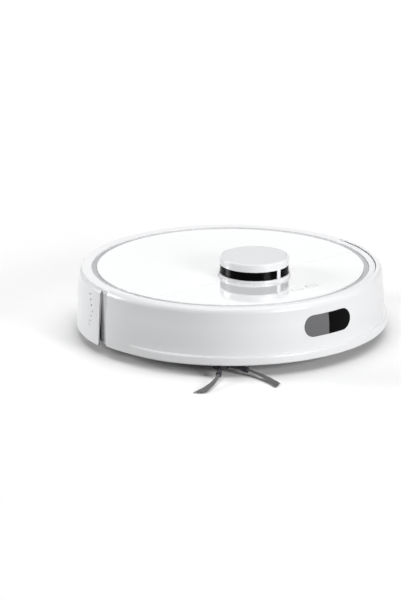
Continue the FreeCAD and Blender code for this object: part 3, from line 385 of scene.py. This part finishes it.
cap_low, cap_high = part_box("turret_cap")
turret = ((cap_low.x + cap_high.x) / 2, 0)
cap_radius = cap_high.x - turret[0]
band_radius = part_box("turret_window")[1].x - turret[0] + 0.0003
band_foot, band_top = cap_low.z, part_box("turret_window")[1].z
disc_low, disc_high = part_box("turret_disc")
disc_edge = disc_high.x - turret[0] + 0.0002
cap_wall, cap_round = 0.0016, 0.0018
disc_seat = cap_high.z - 0.0011
cap_under = cap_high.z - 0.0030
pole = 0.0005
band_inner = band_radius - 0.0013
bead_top = band_foot + 0.0016
post_outer = band_radius + 0.0002
post_low, post_high = band_foot + 0.001, band_top + 0.0003
pane_outer = band_radius - 0.0001
pane_low = band_foot + 0.0017
pane_play = 0.1
window_ends = ((10, 50), (60, 130), (140, 220), (230, 362))
cap = [spun([(cap_radius - cap_wall, band_top + 0.0001), (cap_radius - 0.0003, band_top + 0.0001),
             (cap_radius, band_top + 0.0004),
             *arc((cap_radius - cap_round, cap_high.z - cap_round), cap_round, 0, 90, 6),
             (disc_edge, cap_high.z), (disc_edge, disc_seat), (pole, disc_seat), (pole, cap_under),
             (cap_radius - cap_wall, cap_under)], centre=turret, step=3),
       spun([(band_inner, band_foot), (band_radius, band_foot), (band_radius, bead_top),
             (band_inner, bead_top)], centre=turret, step=3)]
panes = []
for count, (first, last) in enumerate(window_ends):
    post_sweep = (window_ends[(count + 1) % 4][0] - last) % 360
    cap.append(spun([(band_inner, post_low), (post_outer, post_low), (post_outer, post_high),
                     (band_inner, post_high)], last, post_sweep, turret, 0.0002))
    panes.append(spun([(band_inner, pane_low), (pane_outer, pane_low), (pane_outer, band_top),
                       (band_inner, band_top)], first + pane_play, last - first - 2 * pane_play, turret))
piece("cap", merged(*cap), white_shell, "turret", "white_shell", "turret_cap")
piece("turret_panes", merged(*panes), black_acrylic, "turret", "black_window", "turret_window")
disc_grey = plastic("disc_grey", (0.70, 0.705, 0.715), 0.42, 0.05)
disc_middle, disc_chamfer = 0.0002, 0.0003
disc_radius = disc_edge - disc_chamfer
piece("disc", spun([(disc_middle, disc_low.z), (disc_radius, disc_low.z),
                    (disc_radius, disc_high.z - disc_chamfer), (disc_radius - disc_chamfer, disc_high.z),
                    (disc_middle, disc_high.z)], centre=turret, step=3),
      disc_grey, "turret", "pale_grey", "turret_disc")
ring_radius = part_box("turret_base")[1].x - turret[0]
ring_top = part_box("turret_base")[1].z
deck_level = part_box("rear_deck_panel")[1].z
collar_foot = deck_level - 0.001
collar = spun([(ring_radius - 0.00155, collar_foot), (ring_radius + 0.00005, collar_foot),
               *arc((ring_radius - 0.0006, ring_top - 0.0006), 0.00065, 0, 90, 4),
               *arc((ring_radius - 0.0011, ring_top - 0.0004), 0.00045, 90, 180, 3)], centre=turret, step=3)
cup = bmesh.new()
cup.from_mesh(frame["nodes"]["turret_base"].data)
bmesh.ops.remove_doubles(cup, verts=cup.verts, dist=1e-6)
piece("turret_ring", merged(cup, collar), white_shell, "chassis", "white_shell", "turret_base")

# ---- Side brush ----
# Two arms of nylon bristles in rubber roots on a small hub, which a motor turns to draw dirt inwards.
# The arms are bowed back by the floor, and their bristles spread towards the tips.

hub_low, hub_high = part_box("side_brush_hub")
hub = ((hub_low.x + hub_high.x) / 2, (hub_low.y + hub_high.y) / 2)
rubber = plastic("brush_rubber", (0.035, 0.035, 0.045), 0.55, 0.25)
nylon = plastic("nylon_bristle", (0.16, 0.158, 0.16), 0.5, 0.1, spread=0.25)
random.seed(4)
roots, bristles = bmesh.new(), bmesh.new()
root_radius, arm_length = 0.0075, 0.0742
root_height, tip_height = 0.0082, 0.0010
arm_bow = 0.032


def along(share, turn, side=0.0, lift=0.0):
    """Point of an arm's bowed middle line, from the hub to the tip at the floor."""
    distance = root_radius + arm_length * share
    height = root_height * (1 - share) ** 1.1 + tip_height + lift
    bow = arm_bow * share * (1 - share) + side
    spot = Matrix.Rotation(math.radians(turn), 3, "Z") @ Vector((distance, bow, height))
    return spot + Vector((*hub, 0))


def thread(mesh, points, radii, sides):
    """Tube through points, with a radius at each."""
    rings = []
    for k, point in enumerate(points):
        ahead = (points[min(k + 1, len(points) - 1)] - points[max(k - 1, 0)]).normalized()
        across = ahead.cross(Vector((0, 0, 1))).normalized()
        up = across.cross(ahead)
        round_it = [(math.cos(math.tau * j / sides), math.sin(math.tau * j / sides)) for j in range(sides)]
        rings.append([mesh.verts.new(point + radii[k] * (c * across + s * up)) for c, s in round_it])
    for low, high in zip(rings, rings[1:]):
        for j in range(sides):
            mesh.faces.new((low[j], low[(j + 1) % sides], high[(j + 1) % sides], high[j]))
    mesh.faces.new(rings[0][::-1])
    mesh.faces.new(rings[-1])


arm_turns = (10, -56)
root_share, root_steps = 0.33, 8
root_thick, root_swell = 0.0024, 0.0007
bristle_count, bristle_steps = 170, 10
bristle_start = 0.28
bristle_radius, bristle_tip = 0.00022, 0.0001
fan_root, fan_tip = 0.0014, 0.0042
for turn in arm_turns:
    root_line = [along(root_share * k / root_steps, turn) for k in range(root_steps + 1)]
    thread(roots, root_line, [root_thick + root_swell * (k > 5) for k in range(root_steps + 1)], 12)
    for _ in range(bristle_count):
        spread = random.uniform(-1, 1)
        reach = min(1, 0.985 - 0.05 * random.random() - 0.03 * spread)
        points = []
        for k in range(bristle_steps + 1):
            way = k / bristle_steps
            share = bristle_start + (reach - bristle_start) * way
            fan = fan_root + fan_tip * way ** 1.4
            lift = random.uniform(-1, 1) * 0.0004 + 0.0006 * (1 - way)
            points.append(along(share, turn, spread * fan, lift))
        thread(bristles, points, [bristle_radius] * bristle_steps + [bristle_tip], 4)
bmesh.ops.recalc_face_normals(roots, faces=roots.faces)
bmesh.ops.recalc_face_normals(bristles, faces=bristles.faces)
piece("brush_roots", roots, rubber, "side_brush", "dark_plastic")
piece("brush_bristles", bristles, nylon, "side_brush", "bristle", "side_brush_arms")

# ---- Drive wheels ----
# Two sprung wheels with thick rubber tyres, pressed on their hubs. Each tyre has a fine groove round its
# middle, and slanting lugs on both sides of it, so that it climbs a carpet's edge.

tyre_rubber = plastic("tyre_rubber", (0.035, 0.035, 0.037), 0.7, 0.35, spread=0.12)
lug_count, lug_depth = 30, 0.0022
steps_per_lug = 8
slot_share, lug_slant = 0.34, 0.55
tyre_thick = 0.0064
for side in ("left", "right"):
    low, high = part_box(f"wheel_tyre_{side}")
    wheel = ((low.x + high.x) / 2, (low.z + high.z) / 2)
    outer = (high.z - low.z) / 2
    half = (high.y - low.y) / 2
    inner = outer - tyre_thick
    tyre = bmesh.new()
    rings = []
    section = [(-half, inner), (-half, outer - 0.0016), (-half + 0.0008, outer - 0.0003),
               (-half + 0.0022, outer), (-0.0008, outer), (0, outer - 0.0006), (0.0008, outer),
               (half - 0.0022, outer), (half - 0.0008, outer - 0.0003), (half, outer - 0.0016), (half, inner)]
    steps = lug_count * steps_per_lug
    for k in range(steps):
        ring = []
        for across, radius in section:
            phase = (k / steps_per_lug + abs(across) / half * lug_slant) % 1
            cut = lug_depth if phase < slot_share and abs(across) > 0.0004 and radius > outer - 0.0012 else 0
            turn = math.tau * k / steps
            ring.append(tyre.verts.new((wheel[0] + (radius - cut) * math.cos(turn),
                                        (low.y + high.y) / 2 + across,
                                        wheel[1] + (radius - cut) * math.sin(turn))))
        rings.append(ring)
    for k in range(steps):
        for j in range(len(section)):
            i = (j + 1) % len(section)
            tyre.faces.new((rings[k][j], rings[k][i], rings[(k + 1) % steps][i], rings[(k + 1) % steps][j]))
    bmesh.ops.recalc_face_normals(tyre, faces=tyre.faces)
    piece(f"tyre_{side}", tyre, tyre_rubber, f"wheel_{side}", "tread", f"wheel_tyre_{side}")

# ---- Suction brush bristles ----
# Rows of short bristles stand between the rubber fins of the suction brush.
# They are set in the core in tufts, and lean a little to either side.

core_low, core_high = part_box("brush_core")
brush_axis = ((core_low.x + core_high.x) / 2, (core_low.z + core_high.z) / 2)
tuft_nylon = plastic("tuft_nylon", (0.06, 0.075, 0.11), 0.5, 0.1, spread=0.2)
row_count, tuft_count, tuft_bristles = 6, 26, 7
row_half = 0.078
tuft_foot, tuft_middle, tuft_tip = 0.0066, 0.0125, 0.0182
tuft_radii = [0.00016, 0.00015, 0.0001]
turn_stray, lean_stray, foot_stray = 0.05, 0.0012, 0.0011
tufts = bmesh.new()
for row in range(row_count):
    for place in range(tuft_count):
        middle = row_half * (2 * place / (tuft_count - 1) - 1)
        for _ in range(tuft_bristles):
            turn = math.radians(360 * row / row_count + 30) + random.uniform(-turn_stray, turn_stray)
            lean = random.uniform(-lean_stray, lean_stray)
            outward = Vector((math.cos(turn), 0, math.sin(turn)))
            foot_at = Vector((brush_axis[0], middle + random.uniform(-foot_stray, foot_stray), brush_axis[1]))
            thread(tufts, [foot_at + tuft_foot * outward,
                           foot_at + tuft_middle * outward + Vector((0, lean / 2, 0)),
                           foot_at + tuft_tip * outward + Vector((0, lean, 0))], tuft_radii, 4)
bmesh.ops.recalc_face_normals(tufts, faces=tufts.faces)
piece("brush_tufts", tufts, tuft_nylon, "main_brush", "bristle")

# ---- Mop pad ----
# A half-moon of microfibre cloth under the mop plate, soft and thick, with a rounded edge and woven ribs.
# It holds to the plate with hook tape, and drags on the floor behind the wheels.

pad_low, pad_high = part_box("mop_pad")
pad_radius = -pad_low.x
pad_front = pad_high.x
pad_edge = 0.0014
fibre = bpy.data.materials.new("microfibre")
fibre.use_nodes = True
nodes, links = fibre.node_tree.nodes, fibre.node_tree.links
shader = nodes["Principled BSDF"]
shader.inputs["Roughness"].default_value = 0.95
shader.inputs["Sheen Weight"].default_value = 0.4
shader.inputs["Sheen Roughness"].default_value = 0.5
spot = nodes.new("ShaderNodeTexCoord")
ribs = nodes.new("ShaderNodeTexWave")
ribs.bands_direction = "Y"
ribs.inputs["Scale"].default_value = 95
ribs.inputs["Distortion"].default_value = 1.2
ribs.inputs["Detail"].default_value = 2
loops = nodes.new("ShaderNodeTexVoronoi")
loops.inputs["Scale"].default_value = 900
tint = nodes.new("ShaderNodeMix")
tint.data_type = "RGBA"
tint.inputs["A"].default_value = (0.50, 0.51, 0.53, 1)
tint.inputs["B"].default_value = (0.74, 0.75, 0.77, 1)
pile = nodes.new("ShaderNodeMath")
pile.operation = "MULTIPLY_ADD"
pile.inputs[1].default_value = 0.5
weave = nodes.new("ShaderNodeBump")
weave.inputs["Strength"].default_value = 0.8
weave.inputs["Distance"].default_value = 0.0005
links.new(spot.outputs["Object"], ribs.inputs["Vector"])
links.new(spot.outputs["Object"], loops.inputs["Vector"])
links.new(ribs.outputs["Fac"], tint.inputs["Factor"])
links.new(tint.outputs["Result"], shader.inputs["Base Color"])
links.new(loops.outputs["Distance"], pile.inputs[0])
links.new(ribs.outputs["Fac"], pile.inputs[2])
links.new(pile.outputs[0], weave.inputs["Height"])
links.new(weave.outputs["Normal"], shader.inputs["Normal"])
pad = bmesh.new()
half_turn = math.degrees(math.acos(-pad_front / pad_radius))
edge = [polar(pad_radius - 0.0003, 180 - half_turn + 2 * half_turn * k / 60) for k in range(61)]
pad_face = pad.faces.new([pad.verts.new((point.x, point.y, pad_low.z)) for point in edge])
raised = bmesh.ops.extrude_face_region(pad, geom=[pad_face])["geom"]
pad_top = [v for v in raised if isinstance(v, bmesh.types.BMVert)]
bmesh.ops.translate(pad, vec=(0, 0, pad_high.z - pad_low.z), verts=pad_top)
bmesh.ops.recalc_face_normals(pad, faces=pad.faces)
mop = piece("mop_cloth", rounded(pad, pad_edge, 30, 4), fibre, "mop", "mop_cloth", "mop_pad")

# ---- Bumper leaves ----
# Two bowed strips of spring steel, fixed to the chassis, push the bumper forward.
# They flatten as it slides back.

steel = plastic("steel", (0.55, 0.55, 0.57), 0.3, 0.1)
steel.node_tree.nodes["Principled BSDF"].inputs["Metallic"].default_value = 1
leaf_edge = 0.00008
leaves = piece("bumper_leaves", softened("bumper_springs", leaf_edge), steel, "chassis", "steel",
               "bumper_springs")
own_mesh(leaves)

# ---- Everything else keeps its CAD shape ----
# Mouldings, metal and boards inside or below the robot, each with the finish of its own material.

finishes = {
    "chassis_white": plastic("chassis_white", (0.62, 0.63, 0.64), 0.5, 0.25),
    "dark_plastic": plastic("dark_plastic", (0.03, 0.03, 0.032), 0.5, 0.2),
    "grey_trim": plastic("grey_trim", (0.27, 0.275, 0.285), 0.45, 0.12),
    "tread": plastic("tread", (0.025, 0.025, 0.026), 0.75, 0.4),
    "fin_rubber": plastic("fin_rubber", (0.2, 0.205, 0.22), 0.6, 0.3),
    "bristle": nylon,
    "steel": steel,
    "contact_metal": plastic("contact_metal", (0.75, 0.68, 0.45), 0.25, 0.02),
    "board_green": plastic("board_green", (0.02, 0.12, 0.06), 0.4, 0.1),
    "cell_wrap": plastic("cell_wrap", (0.03, 0.05, 0.16), 0.35, 0.05),
    "filter_paper": plastic("filter_paper", (0.75, 0.75, 0.7), 0.9, 0.6),
    "mop_cloth": plastic("mop_cloth", (0.74, 0.75, 0.77), 0.95, 0.8),
    "smoke_bin": plastic("smoke_bin", (0.1, 0.105, 0.12), 0.2, 0.02),
    "white_shell": white_shell, "white_deck": white_deck, "pale_grey": groove_grey,
    "black_window": black_acrylic, "grey_window": grey_acrylic,
}
finishes["contact_metal"].node_tree.nodes["Principled BSDF"].inputs["Metallic"].default_value = 1
for row in frame["record"]["subparts"]:
    for held in frame["nodes"][row["node"]].material_slots:
        held.material = finishes[row["material_slot"]]

# ---- Floor, backdrop and light ----
# A plain floor that shades white to the camera, with the robot's soft shadow on it. One wide soft lamp
# hangs above, and three weaker ones stand round the robot.


def seen_white(material, source, white, *rays):
    """Mix that shows one shader to the camera and in mirrors, and another to every other ray."""
    nodes, links = material.node_tree.nodes, material.node_tree.links
    path = nodes.new("ShaderNodeLightPath")
    seen = path.outputs["Is Camera Ray"]
    for ray in rays:
        either = nodes.new("ShaderNodeMath")
        either.operation = "MAXIMUM"
        links.new(seen, either.inputs[0])
        links.new(path.outputs[ray], either.inputs[1])
        seen = either.outputs[0]
    blend = nodes.new("ShaderNodeMixShader")
    links.new(seen, blend.inputs["Fac"])
    links.new(source, blend.inputs[1])
    links.new(white, blend.inputs[2])
    return blend


floor_half = 12
floor_drop = 0.0002
fade_start, fade_end = 0.25, 0.6
floor_mesh = bmesh.new()
bmesh.ops.create_grid(floor_mesh, x_segments=1, y_segments=1, size=floor_half)
floor_data = bpy.data.meshes.new("floor")
floor_mesh.to_mesh(floor_data)
floor_mesh.free()
floor = bpy.data.objects.new("floor", floor_data)
bpy.context.scene.collection.objects.link(floor)
floor.location.z = -floor_drop
floor_paint = bpy.data.materials.new("floor_paint")
floor_paint.use_nodes = True
paint = floor_paint.node_tree.nodes["Principled BSDF"]
paint.inputs["Base Color"].default_value = (0.4, 0.4, 0.4, 1)
paint.inputs["Roughness"].default_value = 0.9
paint.inputs["Specular IOR Level"].default_value = 0.1
nodes, links = floor_paint.node_tree.nodes, floor_paint.node_tree.links
white = nodes.new("ShaderNodeEmission")
near = nodes.new("ShaderNodeBsdfDiffuse")
near.inputs["Color"].default_value = (0.95, 0.95, 0.95, 1)
fade = nodes.new("ShaderNodeMapRange")
fade.inputs["From Min"].default_value = fade_start
fade.inputs["From Max"].default_value = fade_end
far = nodes.new("ShaderNodeVectorMath")
far.operation = "LENGTH"
spot = nodes.new("ShaderNodeTexCoord")
shown = nodes.new("ShaderNodeMixShader")
links.new(spot.outputs["Object"], far.inputs[0])
links.new(far.outputs["Value"], fade.inputs["Value"])
links.new(fade.outputs["Result"], shown.inputs["Fac"])
links.new(near.outputs[0], shown.inputs[1])
links.new(white.outputs[0], shown.inputs[2])
both = seen_white(floor_paint, paint.outputs[0], shown.outputs[0], "Is Glossy Ray", "Is Transmission Ray")
links.new(both.outputs[0], nodes["Material Output"].inputs["Surface"])
floor_data.materials.append(floor_paint)


def soft_light(name, place, size, power):
    lamp = bpy.data.lights.new(name, "AREA")
    lamp.size = size
    lamp.energy = power
    held = bpy.data.objects.new(name, lamp)
    bpy.context.scene.collection.objects.link(held)
    held.location = place
    held.rotation_euler = (Vector((0, 0, 0.03)) - Vector(place)).to_track_quat("-Z", "Y").to_euler()


soft_light("overhead", (0.2, 0.3, 2.6), 3.2, 58)
soft_light("front", (2.6, 0.2, 0.8), 0.9, 50)
soft_light("back_right", (-1.9, -1.6, 0.8), 0.9, 44)
soft_light("behind", (-2.4, 1.9, 0.95), 2.4, 18)
world = bpy.data.worlds.new("studio")
bpy.context.scene.world = world
world.use_nodes = True
nodes, links = world.node_tree.nodes, world.node_tree.links
room = nodes["Background"]
room.inputs["Color"].default_value = (1, 1, 1, 1)
room.inputs["Strength"].default_value = 0.1
page = nodes.new("ShaderNodeBackground")
page.inputs["Color"].default_value = (1, 1, 1, 1)
both = seen_white(world, room.outputs[0], page.outputs[0], "Is Transmission Ray")
links.new(both.outputs[0], nodes["World Output"].inputs["Surface"])
bpy.context.scene.view_settings.view_transform = "Standard"


def corners(box):
    return [list(map(float, corner)) for corner in box]
